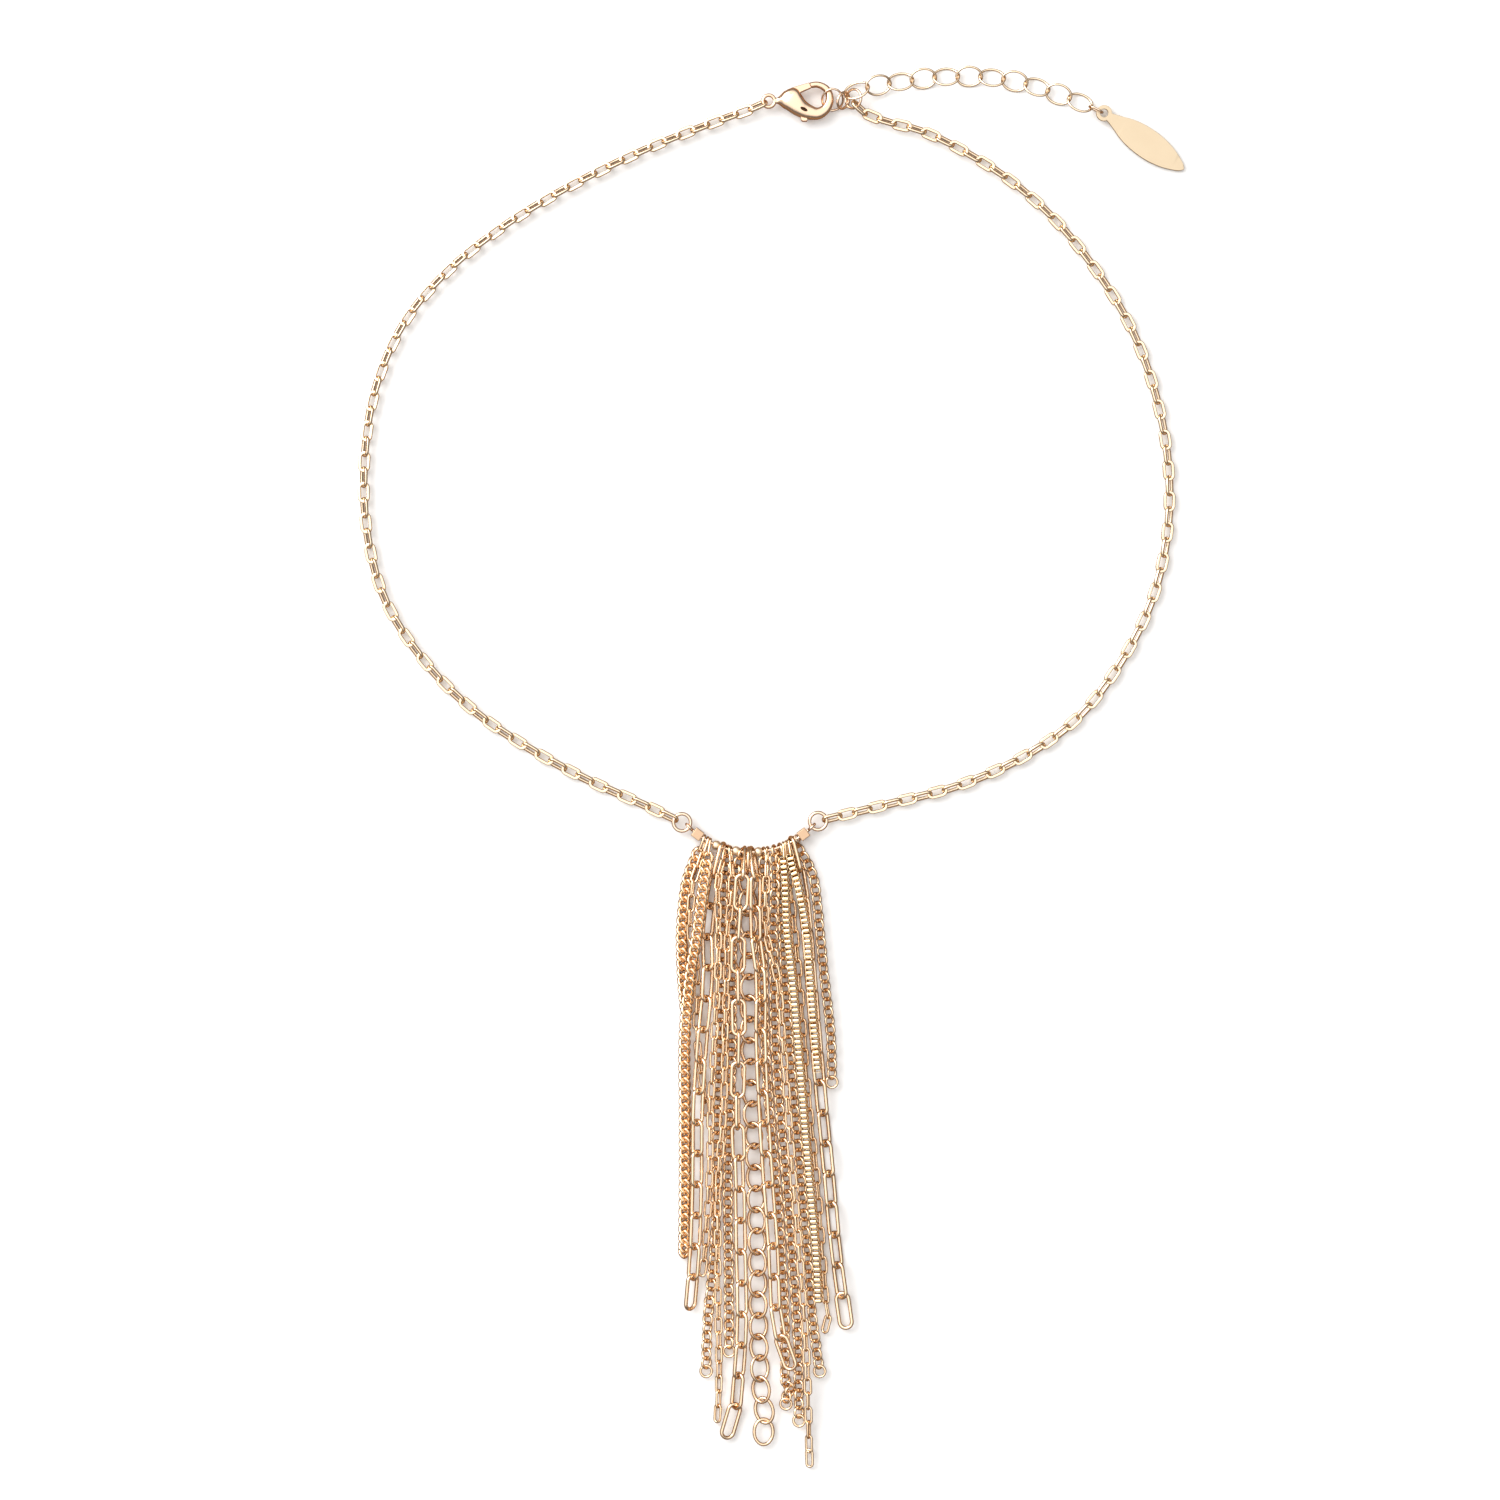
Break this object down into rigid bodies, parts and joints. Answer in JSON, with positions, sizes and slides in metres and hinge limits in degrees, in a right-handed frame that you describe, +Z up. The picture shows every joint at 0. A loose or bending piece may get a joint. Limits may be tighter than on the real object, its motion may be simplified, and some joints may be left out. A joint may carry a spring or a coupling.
{
  "type": "chain necklace",
  "caption": "Link chain necklace laid flat, with a lobster clasp, extender, leaf tag and a long fringe of mixed chains hung from a curved wire.",
  "frame": {"origin": "middle of the necklace's box as it lies, on the surface it lies on", "axes": "+Y from the fringe's foot to the clasp, +X to the extender's side, +Z up from the surface"},
  "size_m": [0.1402, 0.2375, 0.0049],
  "materials": {
    "chain_metal": "pale rose gold plate, bright",
    "polished_metal": "pale rose gold plate, mirror polish",
    "fringe_metal": "rose gold plate, bright"
  },
  "bodies": {
    "necklace": {"neck_chain_left": "chain_metal", "neck_chain_right": "chain_metal", "clasp_body": "polished_metal", "clasp_pin": "polished_metal", "clasp_link": "chain_metal", "cluster_ring": "chain_metal", "joining_ring": "chain_metal", "extender": "chain_metal", "tag_ring": "chain_metal", "tag": "polished_metal", "jump_ring_left": "chain_metal", "jump_ring_right": "chain_metal", "bar": "chain_metal", "square_bead_left": "polished_metal", "square_bead_right": "polished_metal", "round_bead_1": "polished_metal", "round_bead_2": "polished_metal", "round_bead_3": "polished_metal", "bar_disc": "polished_metal", "curb_b": "fringe_metal", "fine_b": "fringe_metal", "curb_a": "fringe_metal", "paperclip_c": "fringe_metal", "fine_d": "fringe_metal", "round_a": "fringe_metal", "fine_e": "fringe_metal", "round_b": "fringe_metal", "paperclip_g": "fringe_metal", "oval_h": "fringe_metal", "paperclip_i": "fringe_metal", "round_j": "fringe_metal", "fine_p": "fringe_metal", "round_l": "fringe_metal", "round_m": "fringe_metal", "box_a": "fringe_metal", "fine_n": "fringe_metal", "box_b": "fringe_metal", "paperclip_o": "fringe_metal", "round_q": "fringe_metal"},
    "lever": {"clasp_lever": "polished_metal"}
  },
  "joints": [
    {"name": "clasp_lever_hinge", "type": "hinge", "parent": "necklace", "child": "lever", "pos_m": [0.00315, 0.114, 0.0015], "axis": [0, 0, -1], "range_deg": [0, 20], "stiffness_Nm_per_rad": 0.004, "springref_deg": -22.92}
  ]
}
